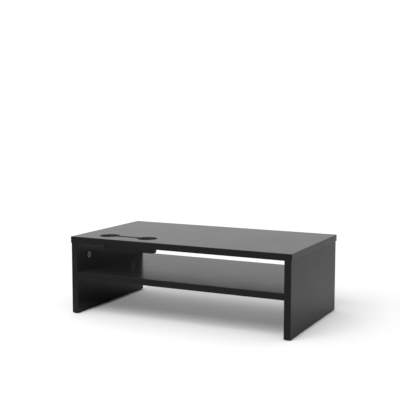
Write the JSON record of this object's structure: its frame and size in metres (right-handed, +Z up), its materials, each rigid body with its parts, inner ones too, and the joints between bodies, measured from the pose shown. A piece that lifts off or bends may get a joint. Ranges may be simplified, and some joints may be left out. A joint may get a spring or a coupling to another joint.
{
  "type": "monitor riser stand",
  "caption": "Low two-tier desk stand: a wide top board on upright side boards with a shelf between them, and a slot with round cable holes at the left for a phone.",
  "frame": {"origin": "on the desk, under the middle of the top board", "axes": "+X to the right, +Y to the back, +Z up; the front edge is at -Y"},
  "size_m": [0.54, 0.3, 0.18],
  "materials": {
    "board_black": "satin black melamine face on particle board",
    "edge_band_black": "satin moulded edge band",
    "glide_black": "matte moulded plastic",
    "screw_zinc": "bright zinc plate",
    "bolt_steel": "bright zinc plate",
    "dowel_beech": "dry turned beech",
    "cam_zinc": "satin die-cast zinc"
  },
  "bodies": {
    "stand": {"top_panel": "board_black", "left_side_panel": "board_black", "right_side_panel": "board_black", "shelf_panel": "board_black", "top_front_band": "edge_band_black", "top_rear_band": "edge_band_black", "top_left_band": "edge_band_black", "top_right_band": "edge_band_black", "left_side_front_band": "edge_band_black", "left_side_rear_band": "edge_band_black", "right_side_front_band": "edge_band_black", "right_side_rear_band": "edge_band_black", "shelf_front_band": "edge_band_black", "shelf_rear_band": "edge_band_black", "phone_rest_batten": "board_black", "phone_rest_screws": "screw_zinc", "top_cam_bolts": "bolt_steel", "shelf_cam_bolts": "bolt_steel", "top_dowels": "dowel_beech", "shelf_dowels": "dowel_beech", "glide_feet": "glide_black"},
    "left_front_cam": {"left_front_cam": "cam_zinc"},
    "left_rear_cam": {"left_rear_cam": "cam_zinc"},
    "right_front_cam": {"right_front_cam": "cam_zinc"},
    "right_rear_cam": {"right_rear_cam": "cam_zinc"},
    "shelf_left_front_cam": {"shelf_left_front_cam": "cam_zinc"},
    "shelf_left_rear_cam": {"shelf_left_rear_cam": "cam_zinc"},
    "shelf_right_front_cam": {"shelf_right_front_cam": "cam_zinc"},
    "shelf_right_rear_cam": {"shelf_right_rear_cam": "cam_zinc"}
  },
  "joints": [
    {"name": "left_front_cam_turn", "type": "hinge", "parent": "stand", "child": "left_front_cam", "pos_m": [-0.2535, -0.1, 0.131], "axis": [1, 0, 0], "range_deg": [0, 180]},
    {"name": "left_rear_cam_turn", "type": "hinge", "parent": "stand", "child": "left_rear_cam", "pos_m": [-0.2535, 0.0985, 0.131], "axis": [1, 0, 0], "range_deg": [0, 180]},
    {"name": "right_front_cam_turn", "type": "hinge", "parent": "stand", "child": "right_front_cam", "pos_m": [0.2535, -0.1, 0.131], "axis": [-1, 0, 0], "range_deg": [0, 180]},
    {"name": "right_rear_cam_turn", "type": "hinge", "parent": "stand", "child": "right_rear_cam", "pos_m": [0.2535, 0.0985, 0.131], "axis": [-1, 0, 0], "range_deg": [0, 180]},
    {"name": "shelf_left_front_cam_turn", "type": "hinge", "parent": "stand", "child": "shelf_left_front_cam", "pos_m": [-0.2195, -0.1, 0.083], "axis": [0, 0, -1], "range_deg": [0, 180]},
    {"name": "shelf_left_rear_cam_turn", "type": "hinge", "parent": "stand", "child": "shelf_left_rear_cam", "pos_m": [-0.2195, 0.0985, 0.083], "axis": [0, 0, -1], "range_deg": [0, 180]},
    {"name": "shelf_right_front_cam_turn", "type": "hinge", "parent": "stand", "child": "shelf_right_front_cam", "pos_m": [0.2195, -0.1, 0.083], "axis": [0, 0, -1], "range_deg": [0, 180]},
    {"name": "shelf_right_rear_cam_turn", "type": "hinge", "parent": "stand", "child": "shelf_right_rear_cam", "pos_m": [0.2195, 0.0985, 0.083], "axis": [0, 0, -1], "range_deg": [0, 180]}
  ]
}
